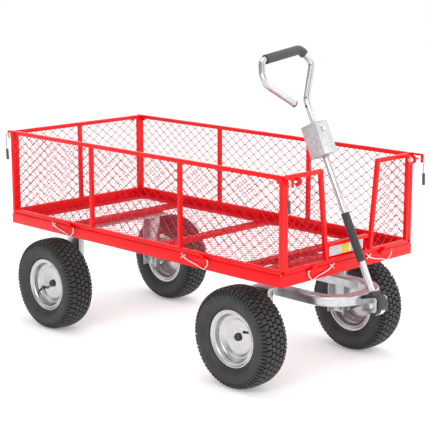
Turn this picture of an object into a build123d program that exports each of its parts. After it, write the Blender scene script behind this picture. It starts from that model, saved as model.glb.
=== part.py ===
from build123d import *
import math
import os

# Garden cart with fold-down mesh sides.  Millimetres, +Z up, +X towards the pull handle, +Y to the cart's left.
# The origin is on the ground under the middle of the whole cart.

# ---- Driving dimensions ----
BED_X = -62.5  # middle of the bed along X
BED_L = 1340.0
BED_W = 644.0
SKIRT_Z = 365.0  # underside of the bed's skirt
SKIRT_H = 36.0
SHEET = 3.0
LEDGE_W = 40.0
LEDGE_Z = 380.0  # underside of the ledge that carries the deck
REST_Y = 98.0  # half the width of the rest plate

TUBE = 13.0
TUBE_WALL = 1.5
WELD_GAP = 0.1  # between tubes that are welded end to side
PANEL_Z0 = 403.0
PANEL_Z1 = 706.0
SIDE_FACE = 319.0  # outer face of the long panels, from the middle
END_FACE = 670.0  # outer face of the short panels, from the middle of the bed
SIDE_POST_X = 221.0
MESH_T = 1.0
CUT_TOP = 140.7  # the slanted posts' middle at their top and at their foot
CUT_FOOT = 108.0

HINGE_Z = 398.0
HINGE_OUT = 7.0  # hinge axis beyond the skirt
PIN_R = 3.0
BARREL_R = 6.5
RUNNING = 0.05
SIDE_HINGE_X = 335.0
END_HINGE_Y = 175.0

LATCH_X = {1: 27.0, -1: 8.0}  # latch pin axis beyond the front and the rear face
RING_R = {1: 14.0, -1: 7.4}
EAR_REACH = {1: 42.0, -1: 17.0}
EAR_LEG = {1: 9.0, -1: 3.8}
LATCH_Z = 691.0
LATCH_R = 4.0

WHEEL_R = 165.0
WHEELBASE = 940.0
HALF_TRACK = 290.0
AXLE_R = 8.0
BEAD_R = 79.0
FLANGE_R = 94.5

PIVOT_X = 781.0  # handle pivot, from the middle of the bed
PIVOT_Z = 275.5
LEAN = math.radians(26.1)
ROD_R = 11.0
ROD_WALL = 2.0

FRONT_X = BED_X + WHEELBASE / 2
REAR_X = BED_X - WHEELBASE / 2
SKIRT_TOP = SKIRT_Z + SKIRT_H
HALF_L = BED_L / 2
HALF_W = BED_W / 2


# ---- Helpers ----
def bar(x, y, z):
    """Add a block between pairs of low and high values."""
    with Locations((sum(x) / 2, sum(y) / 2, sum(z) / 2)):
        Box(x[1] - x[0], y[1] - y[0], z[1] - z[0])


def both(side, a, b):
    """The pair a, b on one side of the middle, in rising order."""
    return tuple(sorted((side * a, side * b)))


def rod(start, direction, length, radius, bore=0.0, mode=Mode.ADD):
    """Add a round rod, or a tube when it has a bore."""
    with BuildSketch(Plane(origin=start, z_dir=direction)) as profile:
        Circle(radius)
        if bore:
            Circle(bore, mode=Mode.SUBTRACT)
    extrude(profile.sketch, amount=length, mode=mode)


def square_tube(start, direction, length):
    """Add a length of square tube centred on the line from start."""
    across = (0, 1, 0) if direction[1] == 0 else (1, 0, 0)
    with BuildSketch(Plane(origin=start, x_dir=across, z_dir=direction)) as profile:
        Rectangle(TUBE, TUBE)
        Rectangle(TUBE - 2 * TUBE_WALL, TUBE - 2 * TUBE_WALL, mode=Mode.SUBTRACT)
    extrude(profile.sketch, amount=length)


def hexagon(start, direction, length, across_flats):
    """Add a hexagonal bolt head or nut."""
    with BuildSketch(Plane(origin=start, z_dir=direction)) as profile:
        RegularPolygon(across_flats / math.sqrt(3), 6)
    extrude(profile.sketch, amount=length)


def save(builder, name):
    """Label a finished piece and write its STEP file."""
    builder.part.label = name
    export_step(builder.part, "parts/" + name + ".step")


os.makedirs("parts", exist_ok=True)


# ---- Bed ----
def make_bed_frame():
    """Four skirt plates, each with a ledge that carries the deck."""
    with BuildPart() as frame:
        for side in (-1, 1):
            bar((BED_X - HALF_L, BED_X + HALF_L), both(side, HALF_W - SHEET, HALF_W), (SKIRT_Z, SKIRT_TOP))
            ledge = both(side, HALF_W - LEDGE_W, HALF_W - SHEET)
            bar((BED_X - HALF_L, BED_X + HALF_L), ledge, (LEDGE_Z, LEDGE_Z + SHEET))
        inner = HALF_W - SHEET - WELD_GAP
        ledge_end = HALF_W - LEDGE_W - WELD_GAP
        for end in (-1, 1):
            plate = both(end, HALF_L - SHEET, HALF_L)
            ledge = both(end, HALF_L - LEDGE_W, HALF_L - SHEET)
            bar((BED_X + plate[0], BED_X + plate[1]), (-inner, inner), (LEDGE_Z + SHEET + WELD_GAP, SKIRT_TOP))
            bar((BED_X + plate[0], BED_X + plate[1]), (-inner, inner), (SKIRT_Z, LEDGE_Z - WELD_GAP))
            bar((BED_X + plate[0], BED_X + plate[1]), (-ledge_end, ledge_end), (SKIRT_Z, SKIRT_TOP))
            bar((BED_X + ledge[0], BED_X + ledge[1]), (-ledge_end, ledge_end), (LEDGE_Z, LEDGE_Z + SHEET))
    save(frame, "bed_frame")


def make_cross_members():
    """Inverted channels across the bed, under the deck."""
    half = HALF_W - SHEET - 0.2
    with BuildPart() as members:
        for x in (-447, 15, 425, 515):
            low, high = BED_X + x - 20, BED_X + x + 20
            bar((low, high), (-half, half), (LEDGE_Z - 3, LEDGE_Z - WELD_GAP))
            for wall in ((low, low + 2.5), (high - 2.5, high)):
                bar(wall, (-half, half), (SKIRT_Z, LEDGE_Z - 3))
    save(members, "cross_members")


def make_deck_mesh():
    """The expanded-metal deck, as a sheet lying on the ledge and cut away round the rest plate."""
    half_l = HALF_L - SHEET - 0.5
    half_w = HALF_W - SHEET - 0.5
    top = LEDGE_Z + SHEET
    with BuildPart() as deck:
        bar((BED_X - half_l, BED_X + half_l), (-half_w, half_w), (top, top + MESH_T))
        with Locations((BED_X + half_l - 8, 0, top)):
            Box(16, 2 * REST_Y + 1, 4 * MESH_T, mode=Mode.SUBTRACT)
    save(deck, "deck_mesh")


def hinge_sites():
    """Each hinge as (x, y, outward, along, sense): sense is the end of the barrel that the pin's wire leaves."""
    axis_y = HALF_W + HINGE_OUT
    axis_x = HALF_L + HINGE_OUT
    sites = []
    for side in (-1, 1):
        for x in (-SIDE_HINGE_X, SIDE_HINGE_X):
            sites.append((BED_X + x, side * axis_y, (0, side), (1, 0), 1))
    for end in (-1, 1):
        for y in (-END_HINGE_Y, END_HINGE_Y):
            sites.append((BED_X + end * axis_x, y, (end, 0), (0, 1), 1 if y > 0 else -1))
    return sites


BARREL_LOW = 24.0  # half length of a whole hinge
KNUCKLE = 9.0  # half length of the panel's knuckle


def oriented_bar(site, along, out, z):
    """Add a block given along the hinge and outward from its axis."""
    x, y, outward, direction, _ = site
    if direction == (1, 0):
        spread = tuple(sorted((y + outward[1] * out[0], y + outward[1] * out[1])))
        bar((x + along[0], x + along[1]), spread, z)
    else:
        spread = tuple(sorted((x + outward[0] * out[0], x + outward[0] * out[1])))
        bar(spread, (y + along[0], y + along[1]), z)


def site_rod(site, start, length, radius, bore=0.0, mode=Mode.ADD):
    """Add a rod on the hinge's axis."""
    x, y, _, direction, _ = site
    rod((x + direction[0] * start, y + direction[1] * start, HINGE_Z), (*direction, 0), length, radius, bore, mode)


def make_hinge_barrels():
    """Two fixed barrels for every hinge, each with a lug welded to the skirt."""
    length = BARREL_LOW - KNUCKLE - 0.4
    with BuildPart() as barrels:
        for site in hinge_sites():
            for start in (-BARREL_LOW, KNUCKLE + 0.4):
                site_rod(site, start, length, BARREL_R)
                oriented_bar(site, (start, start + length), (-HINGE_OUT, 0), (HINGE_Z - 6, HINGE_Z + 2))
                site_rod(site, start, length, PIN_R + RUNNING, mode=Mode.SUBTRACT)
    save(barrels, "hinge_barrels")


def knuckle(site):
    """Add a panel's knuckle: a barrel and the lug that joins it to the bottom rail."""
    reach = HINGE_OUT + HALF_W - SIDE_FACE if site[3] == (1, 0) else HINGE_OUT + HALF_L - END_FACE
    site_rod(site, -KNUCKLE, 2 * KNUCKLE, BARREL_R)
    oriented_bar(site, (-KNUCKLE, KNUCKLE), (-reach + WELD_GAP, 0), (SKIRT_TOP + 1.5, SKIRT_TOP + 10))
    site_rod(site, -KNUCKLE, 2 * KNUCKLE, PIN_R + RUNNING, mode=Mode.SUBTRACT)


def make_hinge_pins():
    """Eight lock pins: a straight shank through the barrels and a bent wire leg that ends in a crossed clip."""
    wire_r = 1.9
    with BuildPart() as pins:
        for site in hinge_sites():
            x, y, outward, direction, sense = site
            reach = BARREL_LOW + 8
            start = -reach if sense < 0 else -BARREL_LOW - 2
            site_rod(site, start, reach + BARREL_LOW + 2, PIN_R)
            # The wire drops from the shank's end, turns back at a V and climbs to the clip, close to the skirt.
            route = [(reach - 2.5, 0, 0), (reach - 3, 1, -14), (10, -1, -31), (-18, -1.5, -22), (-50, -2, -16),
                     (-66, -2, -12), (-84, -2, -3)]
            points = [plane_point(site, *p) for p in route]
            with BuildLine():
                path = FilletPolyline(*points, radius=[3, 4, 12, 12, 12])
            with BuildSketch(Plane(origin=points[0], z_dir=path % 0)) as section:
                Circle(wire_r)
            sweep(section.sketch, path=path)
            clip = plane_point(site, -84, -2, -3)
            for turn in (-40, 35):
                tilt = math.radians(turn)
                heading = (direction[0] * math.cos(tilt), direction[1] * math.cos(tilt), math.sin(tilt))
                tail = tuple(c - 13 * h for c, h in zip(clip, heading))
                rod(tail, heading, 26, 1.7)
    save(pins, "hinge_pins")


def plane_point(site, along, out, up):
    """A point given along the hinge from its middle, outward from its axis and up from it."""
    x, y, outward, direction, sense = site
    return (x + sense * along * direction[0] + out * outward[0], y + sense * along * direction[1] + out * outward[1],
            HINGE_Z + up)


# ---- Undercarriage ----
LEG_Y = 200.0  # outer face of the legs
LEG_W = 34.0  # half width of a leg
LEG_FOOT = 147.0
STEER_TOP = 309.0  # top of the steered frame
RING_GAP = 0.5


def make_axle_frame(name, x, top):
    """A top plate and two channel legs with holes for the axle."""
    with BuildPart() as frame:
        ahead = LEG_W + 4 if name == "front_axle_frame" else LEG_W + 50
        bar((x - LEG_W - 4, x + ahead), (-LEG_Y, LEG_Y), (top - 6, top))
        if name == "front_axle_frame":
            rod((x, 0, top - 7), (0, 0, 1), 8, AXLE_R + RUNNING, mode=Mode.SUBTRACT)
        for side in (-1, 1):
            web = both(side, LEG_Y - 3, LEG_Y)
            flange = both(side, LEG_Y - 25, LEG_Y - 3)
            bar((x - LEG_W, x + LEG_W), web, (LEG_FOOT, top - 6 - WELD_GAP))
            for wall in ((x - LEG_W, x - LEG_W + 3), (x + LEG_W - 3, x + LEG_W)):
                bar(wall, flange, (LEG_FOOT, top - 6 - WELD_GAP))
        rod((x, -LEG_Y - 1, WHEEL_R), (0, 1, 0), 2 * LEG_Y + 2, AXLE_R + RUNNING, mode=Mode.SUBTRACT)
    save(frame, name)


def make_axle(name, x):
    """A stub axle for each wheel, with its nut inside the leg and a spacer outside it."""
    start = LEG_Y - 16
    with BuildPart() as axle:
        for side in (-1, 1):
            rod((x, side * start, WHEEL_R), (0, side, 0), HALF_TRACK + 13.9 - start, AXLE_R)
            hexagon((x, side * (LEG_Y - 3 - WELD_GAP), WHEEL_R), (0, -side, 0), 10, 24)
            rod((x, side * (LEG_Y + WELD_GAP), WHEEL_R), (0, side, 0), 29, 13, AXLE_R + RUNNING)
    save(axle, name)


def make_hub_caps(name, x):
    """Domed caps pressed on the ends of an axle."""
    with BuildPart() as caps:
        for side in (-1, 1):
            rod((x, side * (HALF_TRACK + 8.5), WHEEL_R), (0, side, 0), 9, 13)
            rod((x, side * (HALF_TRACK + 8), WHEEL_R), (0, side, 0), 6, AXLE_R + RUNNING, mode=Mode.SUBTRACT)
    save(caps, name)


def make_turntable():
    """The fixed plate and ring that the steered frame turns under."""
    with BuildPart() as plate:
        bar((FRONT_X - 70, FRONT_X + 70), (-110, 110), (SKIRT_Z - 6, SKIRT_Z - WELD_GAP))
        low = STEER_TOP + RING_GAP
        rod((FRONT_X, 0, low), (0, 0, 1), SKIRT_Z - 6 - low, 45, 30)
        rod((FRONT_X, 0, SKIRT_Z - 7), (0, 0, 1), 8, AXLE_R + RUNNING, mode=Mode.SUBTRACT)
        for x in (-45, 45):
            for y in (-80, 80):
                rod((FRONT_X + x, y, SKIRT_Z - 7), (0, 0, 1), 8, 4 + RUNNING, mode=Mode.SUBTRACT)
    save(plate, "turntable_plate")


def make_chassis_fasteners():
    """The kingpin and the bolts that hold the turntable plate."""
    with BuildPart() as bolts:
        rod((FRONT_X, 0, STEER_TOP - 23), (0, 0, 1), SKIRT_Z - STEER_TOP + 23, AXLE_R)
        hexagon((FRONT_X, 0, SKIRT_Z), (0, 0, 1), 7, 24)
        hexagon((FRONT_X, 0, STEER_TOP - 20), (0, 0, 1), 13, 24)
        for x in (-45, 45):
            for y in (-80, 80):
                rod((FRONT_X + x, y, SKIRT_Z - 6.1), (0, 0, 1), 17, 4)
                hexagon((FRONT_X + x, y, SKIRT_Z - 11.5), (0, 0, 1), 5.4, 13)
    save(bolts, "chassis_fasteners")


def make_rest_plate():
    """The upright plate behind the front panel's gap, with a lip that stops the leaning handle."""
    back = BED_X + 652.5
    wide = (-REST_Y, REST_Y)
    with BuildPart() as plate:
        bar((back, back + 3), wide, (LEDGE_Z + SHEET + WELD_GAP, 466))
        bar((back, back + 14.5), wide, (463, 466))
        bar((back + 11.5, back + 14.5), wide, (455, 466))
    save(plate, "rest_plate")


TONGUE_Z = 287.0  # middle of the tongue tube
TONGUE_Y = 120.5
TONGUE_FRONT = BED_X + 722.0


def make_tongue_loop():
    """The U-shaped tongue, bent from rectangular tube, under the steered frame."""
    start = (FRONT_X - 34, -TONGUE_Y, TONGUE_Z)
    corners = [start, (TONGUE_FRONT, -TONGUE_Y, TONGUE_Z), (TONGUE_FRONT, TONGUE_Y, TONGUE_Z),
               (FRONT_X - 34, TONGUE_Y, TONGUE_Z)]
    with BuildPart() as tongue:
        with BuildLine() as path:
            FilletPolyline(*corners, radius=100)
        with BuildSketch(Plane(origin=start, x_dir=(0, 1, 0), z_dir=(1, 0, 0))) as section:
            RectangleRounded(44, 31.8, 6)
            RectangleRounded(39, 26.8, 3.5, mode=Mode.SUBTRACT)
        sweep(section.sketch, path=path.line)
    save(tongue, "tongue_loop")


def make_tongue_clevis():
    """Two cheek plates welded to the front of the tongue."""
    back = TONGUE_FRONT + 22 + WELD_GAP
    front = BED_X + 803
    with BuildPart() as clevis:
        for face in (-28, 23):
            with BuildSketch(Plane.XZ.offset(-face)) as cheek:
                with BuildLine():
                    Polyline((back, 250), (front, 254), (front, 306), (back, 290), close=True)
                make_face()
                fillet(cheek.vertices().sort_by(Axis.X)[-2:], 12)
            extrude(cheek.sketch, amount=-5)
        rod((BED_X + PIVOT_X, -30, PIVOT_Z), (0, 1, 0), 60, 6 + RUNNING, mode=Mode.SUBTRACT)
    save(clevis, "tongue_clevis")


def make_front_fasteners():
    """The handle's pivot bolt and the bolts between the steered frame and the tongue."""
    x = BED_X + PIVOT_X
    with BuildPart() as bolts:
        rod((x, -28.1, PIVOT_Z), (0, 1, 0), 64, 6)
        rod((x, -28.1, PIVOT_Z), (0, -1, 0), 5, 10.5)
        rod((x, -33, PIVOT_Z), (0, -1, 0), 2.5, 7)
        hexagon((x, 28.2, PIVOT_Z), (0, 1, 0), 7, 19)
        for offset in (-24, 24):
            for side in (-1, 1):
                hexagon((FRONT_X + offset, side * TONGUE_Y, STEER_TOP + WELD_GAP), (0, 0, 1), 5.4, 13)
    save(bolts, "front_fasteners")


# ---- Wheels ----
def wheel_plane(x, side):
    """A plane through a wheel's axis: local x runs outboard and local y is the radius."""
    return Plane(origin=(x, side * HALF_TRACK, WHEEL_R), x_dir=(0, side, 0), z_dir=(side, 0, 0))


def spin(outline, x, side):
    """Turn a closed outline about a wheel's axis."""
    with BuildSketch(wheel_plane(x, side)) as section:
        with BuildLine():
            Polyline(*outline, close=True)
        make_face()
    revolve(section.sketch, axis=Axis((x, side * HALF_TRACK, WHEEL_R), (0, 1, 0)))


def make_wheel(name, x, side):
    """A tyre with its valve, and a pressed steel rim with a hub tube."""
    outer = [(56, 131), (55, 142), (50.5, 153), (41, 161), (26, 164), (0, WHEEL_R)]
    crown = [(-a, r) for a, r in reversed(outer[:-1])]
    foot = [(-55, 121), (-51, 111), (-43, 100), (-36.5, 95), (-36.5, 80.2), (-24, 80.2), (-26, 97), (-37, 105),
            (-46, 116), (-49, 130), (-46, 143), (-36, 154), (0, 158)]
    right = [(-a, r) for a, r in reversed(foot[:-1])]
    with BuildPart() as tyre:
        spin(outer + crown + foot + right, x, side)
        # The valve stands on the dish and leans towards the hub.
        turn = 1 if x > 0 else -1
        rod((x + turn * 54, side * (HALF_TRACK + 10.5), WHEEL_R + turn * 25), (-0.39 * turn, side, 0.26 * turn), 27, 5)
    save(tyre, "tyre_" + name)
    barrel = [(40.5, FLANGE_R), (37.2, FLANGE_R), (37.2, 80), (14, 80), (10, 71), (-10, 71), (-14, 80), (-37.2, 80),
              (-37.2, FLANGE_R), (-40.5, FLANGE_R), (-40.5, 77), (-16, 77), (-12, 68), (5, 68), (5, 20), (-60, 20),
              (-60, AXLE_R + RUNNING), (8, AXLE_R + RUNNING), (8, 68), (12, 68), (16, 77), (40.5, 77)]
    with BuildPart() as rim:
        spin(barrel, x, side)
    save(rim, "rim_" + name)


# ---- Pull handle, in its own leaning frame ----
UP = (-math.sin(LEAN), 0, math.cos(LEAN))
AHEAD = (math.cos(LEAN), 0, math.sin(LEAN))


def on_handle(ahead, across, up):
    """A point given ahead of the shaft, across it and along it from the pivot."""
    return (BED_X + PIVOT_X + ahead * AHEAD[0] + up * UP[0], across, PIVOT_Z + ahead * AHEAD[2] + up * UP[2])


def handle_plane(up):
    """A plane square to the shaft: local x is ahead and local y is across."""
    return Plane(origin=on_handle(0, 0, up), x_dir=AHEAD, z_dir=UP)


FOLD_S = 545.0  # along the shaft from the pivot
BOX_S = (496.0, 604.0)
BOX_U = 30.0
BOX_V = (-35.0, 28.0)


def make_handle():
    """The lower half of the handle, from the yoke to the channel box."""
    pivot = on_handle(0, 0, 0)
    with BuildPart() as yoke:
        rod((pivot[0], -21, pivot[2]), (0, 1, 0), 42, 31)
        with BuildSketch(handle_plane(0)) as collar:
            RectangleRounded(38, 42, 4)
        extrude(collar.sketch, amount=38)
        rod(on_handle(0, 0, 14), UP, 30, ROD_R + RUNNING, mode=Mode.SUBTRACT)
        rod((pivot[0], -22, pivot[2]), (0, 1, 0), 44, 6 + RUNNING, mode=Mode.SUBTRACT)
    save(yoke, "handle_yoke")
    with BuildPart() as tab:
        rod((pivot[0], -9, pivot[2]), (0, 1, 0), 18, 35, 31.1)
        with BuildSketch(handle_plane(-36)) as keep:
            with Locations((3, 0)):
                Rectangle(30, 30)
        extrude(keep.sketch, amount=14, mode=Mode.INTERSECT)
    save(tab, "handle_tab")
    with BuildPart() as tube:
        rod(on_handle(0, 0, 14), UP, 501, ROD_R, ROD_R - ROD_WALL)
    save(tube, "lower_tube")
    with BuildPart() as sleeve:
        rod(on_handle(0, 0, 140), UP, 162, 13.5, ROD_R + RUNNING)
    save(sleeve, "foam_sleeve")
    with BuildPart() as box:
        with BuildSketch(handle_plane(BOX_S[0])) as outline:
            with BuildLine():
                Polyline((BOX_V[0], -BOX_U), (BOX_V[1], -BOX_U), (BOX_V[1], BOX_U), (BOX_V[0], BOX_U),
                         (BOX_V[0], BOX_U - 3), (BOX_V[1] - 3, BOX_U - 3), (BOX_V[1] - 3, 3 - BOX_U),
                         (BOX_V[0], 3 - BOX_U), close=True)
            make_face()
        extrude(outline.sketch, amount=BOX_S[1] - BOX_S[0])
        with BuildSketch(handle_plane(BOX_S[0])) as foot:
            with Locations(((BOX_V[0] + BOX_V[1]) / 2, 0)):
                Rectangle(BOX_V[1] - BOX_V[0], 2 * BOX_U)
            Circle(ROD_R + RUNNING, mode=Mode.SUBTRACT)
        extrude(foot.sketch, amount=3)
        rod(on_handle(0, -40, FOLD_S), (0, 1, 0), 80, 5 + RUNNING, mode=Mode.SUBTRACT)
        rod(on_handle(20, 0, 578), AHEAD, 12, 4 + RUNNING, mode=Mode.SUBTRACT)
    save(box, "channel_box")
    with BuildPart() as pin:
        rod(on_handle(0, -BOX_U, FOLD_S), (0, 1, 0), 2 * BOX_U, 5)
    save(pin, "fold_pin")
    with BuildPart() as lock:
        rod(on_handle(12.2, 0, 578), AHEAD, 20, 4)
        rod(on_handle(BOX_V[1] + WELD_GAP, 0, 578), AHEAD, 5, 7.5)
    save(lock, "lock_bolt")


def loop_point(across, up):
    """A corner of the D-shaped grip loop."""
    return on_handle(0, across, up)


def make_loop():
    """The folding upper half: one bent tube, its foam grip and its plugs."""
    corners = [(0, 532), (0, 684), (88, 808), (49, 855), (-142, 829.5), (-170, 758), (-61, 677)]
    points = [loop_point(*c) for c in corners]
    with BuildPart() as tube:
        with BuildLine() as path:
            FilletPolyline(*points, radius=[28, 28, 28, 28, 45])
        with BuildSketch(handle_plane(corners[0][1])) as section:
            Circle(ROD_R)
            Circle(ROD_R - ROD_WALL, mode=Mode.SUBTRACT)
        sweep(section.sketch, path=path.line)
        rod(on_handle(0, -20, FOLD_S), (0, 1, 0), 40, 5 + RUNNING, mode=Mode.SUBTRACT)
    save(tube, "loop_tube")
    grip_route = [loop_point(64, 836.9), loop_point(49, 855), loop_point(-125, 831.8)]
    with BuildPart() as grip:
        with BuildLine() as path:
            bend = FilletPolyline(*grip_route, radius=28)
        with BuildSketch(Plane(origin=grip_route[0], z_dir=bend % 0)) as section:
            Circle(15.5)
            Circle(ROD_R + RUNNING, mode=Mode.SUBTRACT)
        sweep(section.sketch, path=path.line)
    save(grip, "grip")
    end = Vector(*points[-1])
    heading = (end - Vector(*points[-2])).normalized()
    with BuildPart() as plugs:
        rod(tuple(end + heading * 0.1), tuple(heading), 4, ROD_R + 0.5)
        rod(on_handle(0, -ROD_R - 0.1, 664), (0, -1, 0), 2, 4)
    save(plugs, "tube_plugs")


# ---- Fold-down sides ----
def save_pair(frame, mesh, name):
    """Write a panel's frame and its mesh."""
    save(frame, name + "_panel")
    save(mesh, name + "_mesh")


def sites_for(outward):
    """The hinges on one face of the bed."""
    return [site for site in hinge_sites() if site[2] == outward]


RAIL_LOW = PANEL_Z0 + TUBE / 2
RAIL_HIGH = PANEL_Z1 - TUBE / 2
POST_LOW = PANEL_Z0 + TUBE + WELD_GAP
POST_HIGH = PANEL_Z1 - TUBE - WELD_GAP


def make_side_panel(name, side):
    """A long panel: two rails, four posts, the ears that the latch pins enter and their straps."""
    y = side * (SIDE_FACE - TUBE / 2)
    low, high = BED_X - END_FACE, BED_X + END_FACE
    posts = (low + TUBE / 2, BED_X - SIDE_POST_X, BED_X + SIDE_POST_X, high - TUBE / 2)
    with BuildPart() as frame:
        for z in (RAIL_LOW, RAIL_HIGH):
            square_tube((low, y, z), (1, 0, 0), high - low)
        for x in posts:
            square_tube((x, y, POST_LOW), (0, 0, 1), POST_HIGH - POST_LOW)
        for site in sites_for((0, side)):
            knuckle(site)
        for end in (-1, 1):
            face = END_FACE
            ear = both(side, 314.5, 317.5)
            reach = EAR_REACH[end]
            arm = both(end, face + WELD_GAP, face + reach)
            leg = both(end, face + reach - EAR_LEG[end], face + reach)
            bar((BED_X + arm[0], BED_X + arm[1]), ear, (699, 706))
            bar((BED_X + leg[0], BED_X + leg[1]), ear, (677, 706))
            strap = both(end, face - 22, face - 1)
            bar((BED_X + strap[0], BED_X + strap[1]), both(side, SIDE_FACE + WELD_GAP, SIDE_FACE + 3), (683, 703))
            rod((BED_X + end * (face + reach - 5.5), side * 317.6, 702), (0, side, 0), 4, 3.8)
    with BuildPart() as mesh:
        for first, last in zip(posts[:-1], posts[1:]):
            reach = TUBE / 2 + WELD_GAP
            bar((first + reach, last - reach), (y - MESH_T / 2, y + MESH_T / 2), (POST_LOW, POST_HIGH))
    save_pair(frame, mesh, name)


def latch_ring(end, side):
    """Add the ring that guides a latch pin, on a stem from the panel's face."""
    x = BED_X + end * (END_FACE + LATCH_X[end])
    y = side * 281
    rod((x, y - 2, LATCH_Z), (0, 1, 0), 4, RING_R[end])
    stem = both(end, END_FACE + WELD_GAP, END_FACE + LATCH_X[end] - 6)
    bar((BED_X + stem[0], BED_X + stem[1]), (y - 2, y + 2), (LATCH_Z - 6, LATCH_Z + 6))
    rod((x, y - 3, LATCH_Z), (0, 1, 0), 6, LATCH_R + RUNNING, mode=Mode.SUBTRACT)


def make_rear_panel():
    """The rear panel: two rails, three posts and two latch rings."""
    x = BED_X - END_FACE + TUBE / 2
    half = 305.0
    posts = (-half + TUBE / 2, 0, half - TUBE / 2)
    with BuildPart() as frame:
        for z in (RAIL_LOW, RAIL_HIGH):
            square_tube((x, -half, z), (0, 1, 0), 2 * half)
        for y in posts:
            square_tube((x, y, POST_LOW), (0, 0, 1), POST_HIGH - POST_LOW)
        for site in sites_for((-1, 0)):
            knuckle(site)
        for side in (-1, 1):
            latch_ring(-1, side)
    with BuildPart() as mesh:
        for first, last in zip(posts[:-1], posts[1:]):
            reach = TUBE / 2 + WELD_GAP
            bar((x - MESH_T / 2, x + MESH_T / 2), (first + reach, last - reach), (POST_LOW, POST_HIGH))
    save_pair(frame, mesh, "rear")


def slanted_middle(z):
    """Where a slanted post's middle lies across the cart at height z."""
    return CUT_FOOT + (CUT_TOP - CUT_FOOT) * (z - POST_LOW) / (PANEL_Z1 - POST_LOW)


def cut_plane(x):
    """An upright plane across the cart: local x is +Y and local y is +Z."""
    return Plane(origin=(x, 0, 0), x_dir=(0, 1, 0), z_dir=(1, 0, 0))


def make_front_panel():
    """The front panel, open in the middle for the leaning handle."""
    x = BED_X + END_FACE - TUBE / 2
    half = 305.0
    wide = TUBE / 2 / math.cos(math.atan((CUT_TOP - CUT_FOOT) / (PANEL_Z1 - POST_LOW)))
    with BuildPart() as frame:
        square_tube((x, -half, RAIL_LOW), (0, 1, 0), 2 * half)
        for side in (-1, 1):
            square_tube((x, side * (half - TUBE / 2), POST_LOW), (0, 0, 1), PANEL_Z1 - POST_LOW)
            inner = slanted_middle(PANEL_Z1) + wide + 0.2
            outer = half - TUBE - WELD_GAP
            square_tube((x, side * inner, RAIL_HIGH), (0, side, 0), outer - inner)
            with BuildSketch(cut_plane(x - TUBE / 2)) as post:
                foot, top = slanted_middle(POST_LOW), slanted_middle(PANEL_Z1)
                with BuildLine():
                    Polyline((side * (foot - wide), POST_LOW), (side * (foot + wide), POST_LOW),
                             (side * (top + wide), PANEL_Z1), (side * (top - wide), PANEL_Z1), close=True)
                make_face()
            extrude(post.sketch, amount=TUBE)
            latch_ring(1, side)
        for site in sites_for((1, 0)):
            knuckle(site)
    with BuildPart() as mesh:
        for side in (-1, 1):
            edge = half - TUBE - WELD_GAP
            reach = wide + WELD_GAP
            with BuildSketch(cut_plane(x - MESH_T / 2)) as bay:
                with BuildLine():
                    Polyline((side * (slanted_middle(POST_LOW) + reach), POST_LOW), (side * edge, POST_LOW),
                             (side * edge, POST_HIGH), (side * (slanted_middle(POST_HIGH) + reach), POST_HIGH),
                             close=True)
                make_face()
            extrude(bay.sketch, amount=MESH_T)
    save_pair(frame, mesh, "front")


def make_latch_pin(name, end, side):
    """A latch pin with a domed head, drawn a little short of the ear."""
    x = BED_X + end * (END_FACE + LATCH_X[end])
    head = 9.5 if end > 0 else 7.2
    with BuildPart() as pin:
        rod((x, side * 266, LATCH_Z), (0, side, 0), 312.5 - 266, LATCH_R)
        rod((x, side * 266, LATCH_Z), (0, side, 0), 6, head)
        rod((x, side * 266, LATCH_Z), (0, -side, 0), 2.5, head - 3)
    save(pin, "latch_pin_" + name)


CABLE_R = 1.25


def make_cable(name, end, side):
    """A short steel cable that hangs from an ear, and the plastic grip on its lower end."""
    if end > 0:
        route = [(705, 323.3, 702), (705, 331, 690), (704.4, 331.6, 665), (705.4, 330.8, 640)]
        lean = (0.05, -0.02, -1)
    else:
        route = [(682, 323.3, 700), (685, 329, 687), (683.5, 329.6, 663), (681.5, 328.8, 640)]
        lean = (-0.08, 0, -1)
    points = [(BED_X + end * a, side * b, c) for a, b, c in route]
    vectors = [Vector(*p) for p in points]
    runs = [(b - a) for a, b in zip(vectors[:-1], vectors[1:])]
    radii = []
    for a, b in zip(runs[:-1], runs[1:]):
        turn = math.radians(a.get_angle(b))
        radii.append(0.45 * min(a.length, b.length) / math.tan(turn / 2))
    print("cable", name, "radii", [round(r, 1) for r in radii])
    with BuildPart() as cable:
        with BuildLine() as path:
            bend = FilletPolyline(*points, radius=radii)
        with BuildSketch(Plane(origin=points[0], z_dir=bend % 0)) as section:
            Circle(CABLE_R)
        sweep(section.sketch, path=path.line)
    save(cable, "cable_" + name)
    tip = vectors[-1]
    down = Vector(end * lean[0], side * lean[1], lean[2]).normalized()
    with BuildPart() as grip:
        rod(tuple(tip + down * 0.4), tuple(down), 39, 5)
    save(grip, "pull_grip_" + name)


make_bed_frame()
make_cross_members()
make_deck_mesh()
make_hinge_barrels()
make_hinge_pins()
make_axle_frame("rear_axle_frame", REAR_X, SKIRT_Z - WELD_GAP)
make_axle_frame("front_axle_frame", FRONT_X, STEER_TOP)
for name, x in (("rear", REAR_X), ("front", FRONT_X)):
    make_axle(name + "_axle", x)
    make_hub_caps(name + "_hub_caps", x)
make_turntable()
make_chassis_fasteners()
make_rest_plate()
make_tongue_loop()
make_tongue_clevis()
make_front_fasteners()
make_handle()
make_loop()
make_side_panel("right", -1)
make_side_panel("left", 1)
make_rear_panel()
make_front_panel()
for name, end, side in (("front_right", 1, -1), ("front_left", 1, 1), ("rear_right", -1, -1), ("rear_left", -1, 1)):
    make_wheel(name, FRONT_X if end > 0 else REAR_X, side)
    make_latch_pin(name, end, side)
    make_cable(name, end, side)
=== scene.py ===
import bmesh
import bpy
import math
from mathutils import Matrix, Vector


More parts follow.
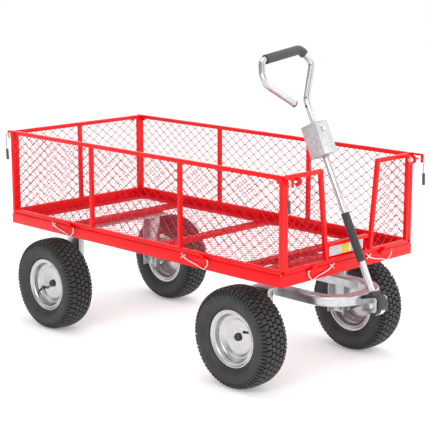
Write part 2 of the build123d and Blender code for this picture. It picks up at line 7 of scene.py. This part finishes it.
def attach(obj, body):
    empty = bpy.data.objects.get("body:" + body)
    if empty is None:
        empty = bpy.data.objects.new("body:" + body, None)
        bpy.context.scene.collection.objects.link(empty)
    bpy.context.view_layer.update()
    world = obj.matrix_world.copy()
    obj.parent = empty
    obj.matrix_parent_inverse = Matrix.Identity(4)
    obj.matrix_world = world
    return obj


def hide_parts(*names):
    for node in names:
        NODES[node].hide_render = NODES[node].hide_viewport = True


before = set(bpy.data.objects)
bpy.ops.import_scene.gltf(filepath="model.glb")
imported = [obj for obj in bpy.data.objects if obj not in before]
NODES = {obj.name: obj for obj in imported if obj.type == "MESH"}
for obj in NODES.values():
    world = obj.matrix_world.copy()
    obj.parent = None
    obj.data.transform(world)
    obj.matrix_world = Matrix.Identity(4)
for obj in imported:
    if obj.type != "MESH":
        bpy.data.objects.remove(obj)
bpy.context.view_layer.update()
SCENE = bpy.context.scene
MM = 0.001

# ---- Places on the cart, in millimetres ----
BED_X = -62.5  # middle of the bed
DECK_X = 666.0  # half of the deck, from the middle of the bed
DECK_Y = 318.0
DECK_Z = 384.2
NOTCH_X = 650.5  # where the deck is cut away round the rest plate
NOTCH_Y = 98.5
SIDE_Y = 310.0  # middle of the long sides' mesh
END_X = 661.0  # middle of the short sides' mesh, from the middle of the bed
MESH_Z = (415.2, 693.8)  # foot and top of every side's mesh
SIDE_POSTS = (-663.5, -221.0, 221.0, 663.5)
REAR_POSTS = (-298.5, 0.0, 298.5)
FRONT_EDGE = 292.5  # outer edge of the front side's mesh
SLANT_FOOT = 108.0  # the front side's slanted posts
SLANT_TOP = 139.2
HALF_POST = 6.0
WHEEL_X = 470.0  # axles, from the middle of the bed
WHEEL_Y = 290.0
WHEEL_R = 165.0
GROOVE_SHADE_RADIUS = 143.5  # the carcass is painted darker outside this radius, as painted shade in the grooves between the tread blocks
TREAD_BLOCKS = 50
SHOULDER_LUGS = 75
LABEL_X = BED_X + 655.5  # front face of the rest plate

# ---- Camera ----
YAW = math.radians(135.018)
PITCH = math.radians(11.882)
cam_data = bpy.data.cameras.new("camera")
camera = bpy.data.objects.new("camera", cam_data)
SCENE.collection.objects.link(camera)
cam_data.lens = 111.91
cam_data.sensor_width = 36.0
cam_data.shift_x = -0.0043
cam_data.shift_y = 0.0007
cam_data.clip_end = 60
aim = Vector((math.cos(YAW) * math.cos(PITCH), math.sin(YAW) * math.cos(PITCH), -math.sin(PITCH)))
camera.location = (3.2213, -3.2059, 1.4083)
camera.rotation_mode = "QUATERNION"
camera.rotation_quaternion = aim.to_track_quat("-Z", "Y")
SCENE.camera = camera
SCENE.view_settings.view_transform = "Standard"


# ---- Materials ----
def nodes_of(name):
    """A new material with its node tree, its Principled shader and object coordinates."""
    mat = bpy.data.materials.new(name)
    mat.use_nodes = True
    tree = mat.node_tree
    shader = tree.nodes["Principled BSDF"]
    coords = tree.nodes.new("ShaderNodeTexCoord")
    return mat, tree, shader, coords.outputs["Object"]


def noise(tree, coords, scale, detail=3.0, rough=0.5):
    tex = tree.nodes.new("ShaderNodeTexNoise")
    tex.inputs["Scale"].default_value = scale
    tex.inputs["Detail"].default_value = detail
    tex.inputs["Roughness"].default_value = rough
    tree.links.new(coords, tex.inputs["Vector"])
    return tex.outputs["Fac"]


def ramp(tree, fac, stops):
    """Map a factor to colours: stops are (place, colour)."""
    node = tree.nodes.new("ShaderNodeValToRGB")
    elements = node.color_ramp.elements
    while len(elements) < len(stops):
        elements.new(0.5)
    for element, (place, color) in zip(elements, stops):
        element.position = place
        element.color = (*color, 1.0)
    tree.links.new(fac, node.inputs["Fac"])
    return node.outputs["Color"]


def spread(tree, fac, low, high):
    """Map a factor to a range of values."""
    node = tree.nodes.new("ShaderNodeMapRange")
    node.inputs["From Min"].default_value = 0.3
    node.inputs["From Max"].default_value = 0.7
    node.inputs["To Min"].default_value = low
    node.inputs["To Max"].default_value = high
    tree.links.new(fac, node.inputs["Value"])
    return node.outputs["Result"]


def bump(tree, shader, height, distance, strength):
    node = tree.nodes.new("ShaderNodeBump")
    node.inputs["Distance"].default_value = distance
    node.inputs["Strength"].default_value = strength
    tree.links.new(height, node.inputs["Height"])
    tree.links.new(node.outputs["Normal"], shader.inputs["Normal"])


def tint(tree, shader, fac, dark, light):
    """Drive the base colour from dark to light."""
    tree.links.new(ramp(tree, fac, [(0.3, dark), (0.7, light)]), shader.inputs["Base Color"])


def roughen(tree, shader, fac, low, high):
    """Drive the roughness between two values."""
    tree.links.new(spread(tree, fac, low, high), shader.inputs["Roughness"])


def paint(name, dark, light, rough):
    """Powder coat: faint orange peel and a slow drift of tone."""
    mat, tree, shader, coords = nodes_of(name)
    tint(tree, shader, noise(tree, coords, 6.0, 2.0), dark, light)
    roughen(tree, shader, noise(tree, coords, 40.0), rough - 0.04, rough + 0.06)
    shader.inputs["Specular IOR Level"].default_value = 0.28
    bump(tree, shader, noise(tree, coords, 420.0, 1.0), 0.00012, 0.6)
    return mat


def metal(name, dark, light, rough, scale, grain=0.00004):
    """Zinc-plated or galvanised steel: blotches of tone and of roughness."""
    mat, tree, shader, coords = nodes_of(name)
    tint(tree, shader, noise(tree, coords, scale, 4.0, 0.6), dark, light)
    roughen(tree, shader, noise(tree, coords, scale * 2.3), rough - 0.06, rough + 0.08)
    shader.inputs["Metallic"].default_value = 1.0
    bump(tree, shader, noise(tree, coords, scale * 9.0), grain, 0.6)
    return mat


def spangle(name):
    """Hot-dip galvanised sheet with faint crystals."""
    mat, tree, shader, coords = nodes_of(name)
    cells = tree.nodes.new("ShaderNodeTexVoronoi")
    cells.inputs["Scale"].default_value = 130.0
    tree.links.new(coords, cells.inputs["Vector"])
    tree.links.new(ramp(tree, cells.outputs["Color"], [(0.2, (0.50, 0.51, 0.52)), (0.8, (0.60, 0.61, 0.62))]),
                   shader.inputs["Base Color"])
    roughen(tree, shader, noise(tree, coords, 60.0), 0.36, 0.52)
    shader.inputs["Metallic"].default_value = 0.85
    bump(tree, shader, noise(tree, coords, 300.0), 0.00005, 0.5)
    return mat


def matt(name, dark, light, rough, scale, depth, sheen=0.0):
    """Rubber, foam and plastic: fine pores and a little unevenness."""
    mat, tree, shader, coords = nodes_of(name)
    tint(tree, shader, noise(tree, coords, scale * 0.05), dark, light)
    shader.inputs["Roughness"].default_value = rough
    shader.inputs["Sheen Weight"].default_value = sheen
    bump(tree, shader, noise(tree, coords, scale, 4.0, 0.7), depth, 0.8)
    return mat


RED = paint("red_powder_coat", (0.74, 0.001, 0.003), (0.84, 0.002, 0.005), 0.34)
# The same red powder coat as RED, made darker for the thin strands of expanded metal: painted shade.
RED_MESH_SHADED = paint("red_mesh_coat_painted_shade", (0.38, 0.001, 0.014), (0.48, 0.002, 0.020), 0.42)
GALVANISED = metal("galvanised_tube", (0.50, 0.51, 0.52), (0.62, 0.63, 0.64), 0.32, 38.0)
BOX_ZINC = spangle("galvanised_sheet")
BRIGHT = metal("bright_zinc", (0.66, 0.66, 0.67), (0.78, 0.78, 0.79), 0.24, 60.0)
SHAFT = metal("shaft_steel", (0.54, 0.54, 0.55), (0.62, 0.62, 0.63), 0.24, 6.0, 0.000002)
RIM = metal("rim_steel", (0.52, 0.52, 0.53), (0.62, 0.62, 0.63), 0.26, 6.0, 0.000003)
TYRE = matt("tyre_rubber", (0.017, 0.017, 0.018), (0.030, 0.030, 0.031), 0.52, 600.0, 0.00012)
# Near-black rubber for the carcass between the tread blocks: painted shade in the grooves, not a different rubber.
PAINTED_GROOVE_SHADE = matt("tyre_groove_painted_shade", (0.003, 0.003, 0.003), (0.006, 0.006, 0.006), 0.85, 600.0, 0.00010)
FOAM = matt("foam_grip", (0.045, 0.045, 0.050), (0.060, 0.060, 0.066), 0.85, 900.0, 0.00030, 0.3)
SLEEVE = matt("foam_sleeve", (0.022, 0.022, 0.024), (0.034, 0.034, 0.037), 0.7, 900.0, 0.00025, 0.15)
PLASTIC = matt("black_plastic", (0.020, 0.020, 0.021), (0.030, 0.030, 0.031), 0.42, 500.0, 0.00004)
GREY_GRIP = matt("grey_grip", (0.055, 0.057, 0.062), (0.075, 0.077, 0.082), 0.5, 400.0, 0.00006)
CABLE = metal("steel_cable", (0.13, 0.13, 0.14), (0.24, 0.24, 0.25), 0.42, 300.0)
LABEL = matt("label_paper", (0.78, 0.79, 0.80), (0.84, 0.84, 0.85), 0.35, 200.0, 0.00001)
LABEL_YELLOW = matt("label_yellow", (0.85, 0.66, 0.02), (0.88, 0.70, 0.03), 0.35, 200.0, 0.00001)
LABEL_GREY = matt("label_grey", (0.20, 0.20, 0.21), (0.26, 0.26, 0.27), 0.4, 200.0, 0.00001)


# ---- Mesh helpers ----
def shade(mesh, angle=35.0):
    for name in ("custom_normal", "sharp_edge", "sharp_face"):
        if name in mesh.attributes:
            mesh.attributes.remove(mesh.attributes[name])
    mesh.shade_smooth()
    mesh.set_sharp_from_angle(angle=math.radians(angle))


def place(name, mesh, mat, body, slot, *replaced):
    """Make a piece from a finished mesh and let it ride on its CAD body."""
    mesh.materials.clear()
    mesh.materials.append(mat)
    obj = bpy.data.objects.new(name, mesh)
    SCENE.collection.objects.link(obj)
    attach(obj, body)
    if replaced:
        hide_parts(*replaced)
    return obj


def from_lists(name, verts, faces):
    mesh = bpy.data.meshes.new(name)
    mesh.from_pydata(verts, [], faces)
    mesh.validate()
    mesh.update()
    return mesh


def soften(node, body, width, mat, slot, angle=35.0, inside=True):
    """A copy of a CAD node with its hard edges rounded, and its inside corners too unless told not to."""
    mesh = NODES[node].data.copy()
    bm = bmesh.new()
    bm.from_mesh(mesh)
    bmesh.ops.remove_doubles(bm, verts=bm.verts, dist=2e-6)
    bmesh.ops.dissolve_limit(bm, angle_limit=math.radians(0.8), verts=bm.verts, edges=bm.edges)
    sharp = [e for e in bm.edges if e.is_manifold and e.calc_face_angle(0.0) > math.radians(angle)
             and (inside or e.is_convex)]
    bmesh.ops.bevel(bm, geom=sharp, offset=width * MM, offset_type="OFFSET", segments=2, profile=0.5,
                    affect="EDGES", clamp_overlap=True)
    bmesh.ops.recalc_face_normals(bm, faces=bm.faces)
    bm.to_mesh(mesh)
    bm.free()
    shade(mesh)
    return place("look_" + node, mesh, mat, body, slot, node)


def lathe(profile, turns):
    """Vertices and faces of a profile of (a, r) turned about the local Y axis, a along +Y."""
    verts = []
    for i in range(turns):
        t = 2 * math.pi * i / turns
        verts += [(r * math.cos(t) * MM, a * MM, r * math.sin(t) * MM) for a, r in profile]
    count = len(profile)
    faces = []
    for i in range(turns):
        here, there = i * count, (i + 1) % turns * count
        for k in range(count):
            nxt = (k + 1) % count
            faces.append((here + k, here + nxt, there + nxt, there + k))
    return verts, faces


def merge(parts):
    """Join several (vertices, faces) lists."""
    verts, faces = [], []
    for v, f in parts:
        base = len(verts)
        verts += v
        faces += [tuple(i + base for i in face) for face in f]
    return verts, faces


def slab(low, high):
    """A block between two corners."""
    x0, y0, z0 = [c * MM for c in low]
    x1, y1, z1 = [c * MM for c in high]
    verts = [(x0, y0, z0), (x1, y0, z0), (x1, y1, z0), (x0, y1, z0),
             (x0, y0, z1), (x1, y0, z1), (x1, y1, z1), (x0, y1, z1)]
    faces = [(3, 2, 1, 0), (4, 5, 6, 7), (0, 1, 5, 4), (1, 2, 6, 5), (2, 3, 7, 6), (3, 0, 4, 7)]
    return verts, faces


# ---- Expanded metal ----
def clip(p, q, outline):
    """The stretch of p-q inside a convex outline listed anticlockwise, or None."""
    low, high = 0.0, 1.0
    d = (q[0] - p[0], q[1] - p[1])
    for a, b in zip(outline, outline[1:] + outline[:1]):
        normal = (-(b[1] - a[1]), b[0] - a[0])
        start = normal[0] * (p[0] - a[0]) + normal[1] * (p[1] - a[1])
        rate = normal[0] * d[0] + normal[1] * d[1]
        if abs(rate) < 1e-12:
            if start < 0:
                return None
            continue
        t = -start / rate
        if rate > 0:
            low = max(low, t)
        else:
            high = min(high, t)
    if high - low < 1e-3:
        return None
    return ((p[0] + d[0] * low, p[1] + d[1] * low), (p[0] + d[0] * high, p[1] + d[1] * high))


def strand(p, q, origin, e1, e2, e3, wide, thick, tilt):
    """A thin ribbon between two points of the sheet, turned about its own length."""
    a = origin + e1 * p[0] * MM + e2 * p[1] * MM
    b = origin + e1 * q[0] * MM + e2 * q[1] * MM
    along = (b - a).normalized()
    side = along.cross(e3).normalized()
    c, s = math.cos(tilt), math.sin(tilt)
    across = (side * c + e3 * s) * wide * MM / 2
    up = (e3 * c - side * s) * thick * MM / 2
    ring = [across + up, -across + up, -across - up, across - up]
    verts = [tuple(a + v) for v in ring] + [tuple(b + v) for v in ring]
    faces = [(0, 1, 5, 4), (1, 2, 6, 5), (2, 3, 7, 6), (3, 0, 4, 7), (3, 2, 1, 0), (4, 5, 6, 7)]
    return verts, faces


def expanded(origin, e1, e2, outline, long_way=44.0, short_way=32.5, wide=1.8, thick=1.1):
    """Strands and bonds of expanded metal that fill a convex outline in the (e1, e2) plane."""
    e1, e2 = Vector(e1), Vector(e2)
    e3 = e1.cross(e2)
    origin = Vector(origin) * MM
    us = [p[0] for p in outline]
    vs = [p[1] for p in outline]
    parts = []
    bond = long_way * 0.045
    rows = range(int(min(vs) / short_way * 2) - 2, int(max(vs) / short_way * 2) + 3)
    cols = range(int(min(us) / long_way) - 2, int(max(us) / long_way) + 3)
    for j in rows:
        for i in cols:
            u = (i + 0.5 * (j % 2)) * long_way
            v = j * short_way / 2
            for du in (-1, 1):
                p = (u + du * bond, v)
                q = (u + du * (long_way / 2 - bond), v + short_way / 2)
                kept = clip(p, q, outline)
                if kept:
                    parts.append(strand(*kept, origin, e1, e2, e3, wide, thick, 0.45 * du))
            kept = clip((u - bond * 1.25, v), (u + bond * 1.25, v), outline)
            if kept:
                parts.append(strand(*kept, origin, e1, e2, e3, wide * 1.7, thick, 0.35))
    return merge(parts)


def rectangle(a, b):
    return [(a[0], a[1]), (b[0], a[1]), (b[0], b[1]), (a[0], b[1])]


def bays_between(posts):
    """The outline between each pair of neighbouring posts."""
    return [rectangle((first + HALF_POST, MESH_Z[0]), (last - HALF_POST, MESH_Z[1]))
            for first, last in zip(posts[:-1], posts[1:])]


def mesh_panel(name, origin, across, outlines):
    """The expanded metal of one side."""
    bays = [expanded(origin, across, (0, 0, 1), outline) for outline in outlines]
    mesh = from_lists("expanded_" + name, *merge(bays))
    place("look_" + name + "_mesh", mesh, RED_MESH_SHADED, name + "_side", "red_mesh", name + "_mesh")


mesh_panel("left", (BED_X, SIDE_Y, 0), (1, 0, 0), bays_between(SIDE_POSTS))
mesh_panel("right", (BED_X, -SIDE_Y, 0), (1, 0, 0), bays_between(SIDE_POSTS))
mesh_panel("rear", (BED_X - END_X, 0, 0), (0, 1, 0), bays_between(REAR_POSTS))
foot, top = SLANT_FOOT + HALF_POST, SLANT_TOP + HALF_POST
low, high = MESH_Z
mesh_panel("front", (BED_X + END_X, 0, 0), (0, 1, 0), (
    [(foot, low), (FRONT_EDGE, low), (FRONT_EDGE, high), (top, high)],
    [(-FRONT_EDGE, low), (-foot, low), (-top, high), (-FRONT_EDGE, high)]))

deck_spans = (((-DECK_X, -DECK_Y), (NOTCH_X, DECK_Y)), ((NOTCH_X, -DECK_Y), (DECK_X, -NOTCH_Y)),
              ((NOTCH_X, NOTCH_Y), (DECK_X, DECK_Y)))
deck = [expanded((BED_X, 0, DECK_Z), (1, 0, 0), (0, 1, 0), rectangle(*span), 46.0, 34.0, 2.2, 1.2)
        for span in deck_spans]
place("look_deck_mesh", from_lists("expanded_deck", *merge(deck)), RED_MESH_SHADED, "chassis", "red_mesh", "deck_mesh")

# The deck's edges are folded up, which closes the gap under the panels.
EDGE_Z = (384.5, 402.4)
edges = [slab((BED_X - 663, y, EDGE_Z[0]), (BED_X + 663, y + 2.5, EDGE_Z[1])) for y in (-318.4, 315.9)]
edges += [slab((BED_X - 666, -315, EDGE_Z[0]), (BED_X - 663.5, 315, EDGE_Z[1]))]
edges += [slab((BED_X + 663.5, y, EDGE_Z[0]), (BED_X + 666, y + 215, EDGE_Z[1])) for y in (-315, 100)]
place("look_deck_edges", from_lists("deck_edges", *merge(edges)), RED, "chassis", "red")

# ---- Tyres: a carcass with a turf tread ----
CROWN = [(0, 165), (14, 164.8), (26, 164), (35, 162.6), (41, 160.8), (46.5, 157.3), (50.5, 152.5), (53.6, 147),
         (55.2, 141), (55.8, 134)]


def crown(a):
    """The tread's outer radius at a distance from the middle plane."""
    a = abs(a)
    for (a0, r0), (a1, r1) in zip(CROWN[:-1], CROWN[1:]):
        if a <= a1:
            return r0 + (r1 - r0) * (a - a0) / (a1 - a0)
    return CROWN[-1][1]


def block(corners, depth, shrink):
    """A tread block: corners are (a, angle) of its foot; its top is smaller and follows the crown."""
    mid_a = sum(c[0] for c in corners) / len(corners)
    mid_t = sum(c[1] for c in corners) / len(corners)
    foot, shoulder, top = [], [], []
    for a, t in corners:
        foot.append((a, t, crown(a) - depth))
        shoulder.append((mid_a + (a - mid_a) * 0.95, mid_t + (t - mid_t) * 0.95, crown(a) - 1.2))
        top.append((mid_a + (a - mid_a) * shrink, mid_t + (t - mid_t) * shrink, crown(a) - 0.1))
    verts = [(r * math.cos(t) * MM, a * MM, r * math.sin(t) * MM) for a, t, r in foot + shoulder + top]
    n = len(corners)
    faces = []
    for ring in (0, 1):
        for k in range(n):
            nxt = (k + 1) % n
            faces.append((ring * n + k, ring * n + nxt, (ring + 1) * n + nxt, (ring + 1) * n + k))
    faces.append(tuple(2 * n + k for k in range(n)))
    return verts, faces


def tread():
    """Five staggered rows of short blocks, and toothed shoulders."""
    parts = []
    pitch = 2 * math.pi / TREAD_BLOCKS
    h = 0.40 * pitch
    for row in range(5):
        a = -35.4 + 17.7 * row
        lean = 0.05 * pitch * (1 if row % 2 else -1)
        for i in range(TREAD_BLOCKS):
            t = (i + 0.5 * (row % 2)) * pitch
            corners = [(a - 7.6, t - h + lean), (a + 7.6, t - h - lean),
                       (a + 7.6, t + h - lean), (a - 7.6, t + h + lean)]
            parts.append(block(corners, 6.5, 0.90))
    pitch = 2 * math.pi / SHOULDER_LUGS
    h = 0.30 * pitch
    for side in (-1, 1):
        for i in range(SHOULDER_LUGS):
            t = (i + 0.5) * pitch
            reach = side * (55.6 if i % 2 else 53.8)
            corners = [(side * 45.4, t - h), (side * 45.4, t + h), (side * 50, t + h * 0.95), (reach, t + h * 0.85),
                       (reach, t - h * 0.85), (side * 50, t - h * 0.95)]
            parts.append(block(corners, 8.0, 0.92))
    return merge(parts)


def tyre_profile():
    """The carcass under the tread, with ribs on its sidewalls, as (a, r) round one closed section."""
    right = [(36.6, 92.0), (37.2, 95.2), (39.0, 96.6), (41.5, 97.4), (43.4, 99.0), (44.0, 101.5), (45.2, 103.4),
             (48.0, 106.6), (50.4, 110.0), (51.0, 112.2), (51.9, 112.8), (53.0, 116.5), (54.2, 121.0), (54.9, 126.0),
             (55.0, 131.0), (54.8, 135.5), (54.0, 140.0), (52.6, 141.0), (50.6, 145.0), (47.6, 149.2), (44.0, 152.0),
             (40.0, 154.2), (34.0, 156.2), (24.0, 157.8), (12.0, 158.6)]
    left = [(-a, r) for a, r in reversed(right)]
    inside = [(-36.6, 82.0), (-26.0, 81.0), (-26.0, 97.0), (-46.0, 120.0), (-40.0, 150.0), (0, 153.0),
              (40.0, 150.0), (46.0, 120.0), (26.0, 97.0), (26.0, 81.0), (36.6, 82.0)]
    return right + [(0, 158.8)] + left + inside


CARCASS = lathe(tyre_profile(), 128)
CARCASS_FACES = len(CARCASS[1])
TYRE_SHAPE = merge([CARCASS, tread()])

RIM_PROFILE = [(37.6, 94.3), (39.4, 94.4), (40.3, 93.4), (40.4, 91.6), (39.4, 89.8), (38.2, 87.6), (37.2, 83.0),
               (35.4, 79.6), (32.0, 77.8), (24.0, 76.8), (19.0, 76.0), (16.0, 74.0), (14.2, 71.0), (13.4, 67.0),
               (12.4, 63.0), (10.6, 59.6), (8.9, 56.6), (8.1, 52.0), (7.9, 40.0), (7.9, 27.0), (8.6, 23.5), (9.0, 20.5),
               (8.6, 17.0), (8.3, 8.4), (-59.8, 8.4), (-59.8, 19.6), (3.6, 19.8), (4.4, 50.0), (6.0, 58.0), (9.0, 64.0),
               (4.0, 68.4), (-12.0, 68.4), (-16.0, 74.0), (-20.0, 76.0), (-34.0, 77.6), (-37.0, 81.0), (-38.4, 88.0),
               (-40.3, 91.6), (-39.9, 94.3), (-37.6, 94.3), (-37.3, 81.0), (-14.4, 79.6), (-10.6, 71.6), (10.6, 71.6),
               (14.4, 79.6), (37.3, 81.0)]
CAP_PROFILE = [(8.7, 8.3), (8.7, 12.6), (10.5, 13.0), (13.6, 12.6), (15.6, 11.6), (16.6, 10.4), (17.2, 9.0),
               (17.0, 7.2), (14.6, 6.4), (14.2, 0.05), (13.4, 0.05), (12.4, 8.3)]
VALVE_PROFILE = [(-2.0, 0.05), (-2.0, 6.4), (0.0, 6.2), (1.5, 4.6), (4.0, 4.2), (13.0, 3.6), (14.6, 3.6), (14.8, 4.4),
                 (24.6, 4.6), (26.0, 4.0), (26.6, 2.4), (26.7, 0.05)]


def turned(shape, matrix):
    """A shape's vertices moved by a matrix."""
    verts, faces = shape
    return [tuple(matrix @ Vector(v)) for v in verts], faces


def lines_up(direction, start):
    """A matrix that carries local +Y to a direction at a start point, in millimetres."""
    turn = Vector((0, 1, 0)).rotation_difference(Vector(direction).normalized()).to_matrix().to_4x4()
    return Matrix.Translation(Vector(start) * MM) @ turn


def wheel_place(end, side):
    """A matrix that carries a wheel's own axes to its corner, with its outer face outwards."""
    flip = Matrix.Identity(4) if side > 0 else Matrix.Rotation(math.pi, 4, "Z")
    return Matrix.Translation(Vector((BED_X + end * WHEEL_X, side * WHEEL_Y, WHEEL_R)) * MM) @ flip


CORNERS = (("front_right", 1, -1), ("front_left", 1, 1), ("rear_right", -1, -1), ("rear_left", -1, 1))
for name, end, side in CORNERS:
    at = wheel_place(end, side)
    centre = at.translation
    spin = Matrix.Rotation(0.37 * end + 0.2 * side, 4, "Y")
    valve = lines_up((-0.39 * end * side, 1, 0.26 * end), (end * side * 54, 10.5, end * 25))
    tyre = from_lists("tyre_" + name, *turned(TYRE_SHAPE, at @ spin))
    shade(tyre, 28.0)
    place("look_tyre_" + name, tyre, TYRE, "wheel_" + name, "tyre", "tyre_" + name)
    # Carcass faces out at the tread get the near-black material: painted shade in the grooves between the tread blocks.
    tyre.materials.append(PAINTED_GROOVE_SHADE)
    for face in tyre.polygons[:CARCASS_FACES]:
        if (face.center - centre).cross(Vector((0, 1, 0))).length > GROOVE_SHADE_RADIUS * MM:
            face.material_index = 1
    rim = from_lists("rim_" + name, *turned(lathe(RIM_PROFILE, 96), at))
    shade(rim, 40.0)
    place("look_rim_" + name, rim, RIM, "wheel_" + name, "rim", "rim_" + name)
    stem = from_lists("valve_" + name, *turned(lathe(VALVE_PROFILE, 20), at @ valve))
    shade(stem, 40.0)
    place("look_valve_" + name, stem, PLASTIC, "wheel_" + name, "tyre")
for axle, end, body in (("front", 1, "steering"), ("rear", -1, "chassis")):
    caps = [turned(lathe(CAP_PROFILE, 40), wheel_place(end, side)) for side in (-1, 1)]
    mesh = from_lists(axle + "_caps", *merge(caps))
    shade(mesh, 40.0)
    place("look_" + axle + "_hub_caps", mesh, PLASTIC, body, "black_plastic", axle + "_hub_caps")

# ---- Everything that keeps its CAD shape, with rounded edges ----
CARRIED = {
    "chassis": (
        ("bed_frame", 1.2, RED, "red"), ("cross_members", 0.9, RED, "red"), ("hinge_barrels", 0.7, RED, "red"),
        ("rest_plate", 1.0, RED, "red"), ("hinge_pins", 0.4, BRIGHT, "zinc"),
        ("rear_axle_frame", 1.2, GALVANISED, "galvanised"), ("rear_axle", 1.0, GALVANISED, "galvanised"),
        ("turntable_plate", 1.2, GALVANISED, "galvanised"), ("chassis_fasteners", 0.7, BRIGHT, "zinc")),
    "steering": (
        ("front_axle_frame", 1.2, GALVANISED, "galvanised"), ("front_axle", 1.0, GALVANISED, "galvanised"),
        ("tongue_loop", 0.6, GALVANISED, "galvanised"), ("tongue_clevis", 1.2, GALVANISED, "galvanised"),
        ("front_fasteners", 0.9, BRIGHT, "zinc")),
    "handle": (
        ("handle_yoke", 2.5, PLASTIC, "black_plastic"), ("handle_tab", 0.8, BRIGHT, "zinc"),
        ("lower_tube", 0.5, SHAFT, "silver_paint"), ("foam_sleeve", 1.0, SLEEVE, "foam"),
        ("channel_box", 1.4, BOX_ZINC, "galvanised"), ("fold_pin", 0.8, BRIGHT, "zinc"),
        ("lock_bolt", 1.0, BRIGHT, "zinc")),
    "grip_loop": (
        ("loop_tube", 0.5, SHAFT, "silver_paint"), ("grip", 1.6, FOAM, "foam"),
        ("tube_plugs", 0.8, PLASTIC, "black_plastic")),
}
for body, rows in CARRIED.items():
    for node, width, mat, slot in rows:
        soften(node, body, width, mat, slot)
for name in ("left", "right", "rear", "front"):
    soften(name + "_panel", name + "_side", 1.5, RED, "red")
for name, end, side in CORNERS:
    soften("latch_pin_" + name, "latch_" + name, 2.0, BRIGHT, "zinc", inside=False)


# ---- Pull cables and their grips ----
def filleted(points):
    """Points along a route whose corners are rounded as far as 0.45 of the shorter run."""
    points = [Vector(p) for p in points]
    out = [points[0]]
    for before, corner, after in zip(points[:-2], points[1:-1], points[2:]):
        reach = 0.45 * min((corner - before).length, (after - corner).length)
        a = corner + (before - corner).normalized() * reach
        b = corner + (after - corner).normalized() * reach
        out += [a * (1 - t) ** 2 + corner * 2 * t * (1 - t) + b * t * t for t in (0, 0.25, 0.5, 0.75, 1.0)]
    out.append(points[-1])
    return out


for name, end, side in CORNERS:
    if end > 0:
        route = [(705, 323.3, 702), (705, 331, 690), (704.4, 331.6, 665), (705.4, 330.8, 640)]
    else:
        route = [(682, 323.3, 700), (685, 329, 687), (683.5, 329.6, 663), (681.5, 328.8, 640)]
    points = filleted([((BED_X + end * a) * MM, side * b * MM, c * MM) for a, b, c in route])
    curve = bpy.data.curves.new("cable_" + name, "CURVE")
    curve.dimensions = "3D"
    curve.bevel_depth = 1.25 * MM
    curve.bevel_resolution = 3
    curve.use_fill_caps = True
    spline = curve.splines.new("NURBS")
    spline.points.add(len(points) - 1)
    for point, place_at in zip(spline.points, points):
        point.co = (*place_at, 1.0)
    spline.order_u = 3
    spline.use_endpoint_u = True
    spline.resolution_u = 6
    curve.materials.append(CABLE)
    obj = bpy.data.objects.new("look_cable_" + name, curve)
    SCENE.collection.objects.link(obj)
    body = ("left" if side > 0 else "right") + "_side"
    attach(obj, body)
    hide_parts("cable_" + name)
    grip = soften("pull_grip_" + name, body, 1.6, GREY_GRIP, "black_plastic")


# ---- Label on the rest plate: plain blocks of colour ----
def stick(name, blocks, mat):
    """Add flat blocks to the rest plate."""
    place(name, from_lists(name, *merge(blocks)), mat, "chassis", "red")


stick("label_base", [slab((LABEL_X, -82, 421), (LABEL_X + 0.3, 83, 451))], LABEL)
stick("label_band", [slab((LABEL_X + 0.3, -24, 421.5), (LABEL_X + 0.45, 14, 450.5))], LABEL_YELLOW)
stick("label_bars", [slab((LABEL_X + 0.3, y0, z), (LABEL_X + 0.5, y1, z + 1.6))
                     for y0, y1 in ((-78, -30), (22, 78)) for z in (425, 430, 435, 440, 445)], LABEL_GREY)

# ---- Studio ----
floor_mesh = from_lists("floor", [(-40, -40, 0), (40, -40, 0), (40, 40, 0), (-40, 40, 0)], [(0, 1, 2, 3)])
floor = bpy.data.objects.new("floor", floor_mesh)
SCENE.collection.objects.link(floor)
white = bpy.data.materials.new("studio_floor")
white.use_nodes = True
sockets = white.node_tree.nodes["Principled BSDF"].inputs
sockets["Base Color"].default_value = (0.92, 0.92, 0.92, 1)
sockets["Roughness"].default_value = 0.9
sockets["Emission Color"].default_value = (1, 1, 1, 1)
sockets["Emission Strength"].default_value = 0.24
floor_mesh.materials.append(white)

world = bpy.data.worlds.new("studio")
SCENE.world = world
world.use_nodes = True
sky = world.node_tree
where = sky.nodes.new("ShaderNodeTexCoord")
wave = sky.nodes.new("ShaderNodeTexNoise")
wave.inputs["Scale"].default_value = 1.3
wave.inputs["Detail"].default_value = 0.0
sky.links.new(where.outputs["Generated"], wave.inputs["Vector"])
sky.links.new(ramp(sky, wave.outputs["Fac"], [(0.40, (0.36, 0.36, 0.37)), (0.56, (1.45, 1.45, 1.45))]),
              sky.nodes["Background"].inputs["Color"])
sky.nodes["Background"].inputs["Strength"].default_value = 1.0


def area(name, place_at, target, size, power):
    """Add a rectangular lamp that faces its target."""
    data = bpy.data.lights.new(name, "AREA")
    data.shape = "RECTANGLE"
    data.size, data.size_y = size
    data.energy = power
    light = bpy.data.objects.new(name, data)
    light.location = place_at
    light.rotation_mode = "QUATERNION"
    light.rotation_quaternion = (Vector(target) - Vector(place_at)).to_track_quat("-Z", "Y")
    SCENE.collection.objects.link(light)


area("key", (2.2, -4.2, 3.6), (0, 0, 0.4), (2.4, 1.6), 70)
area("top", (-0.4, 0.3, 4.2), (0, 0, 0.3), (3.4, 2.6), 60)
area("rim", (4.2, 1.8, 2.2), (0.2, 0, 0.4), (1.4, 2.2), 25)
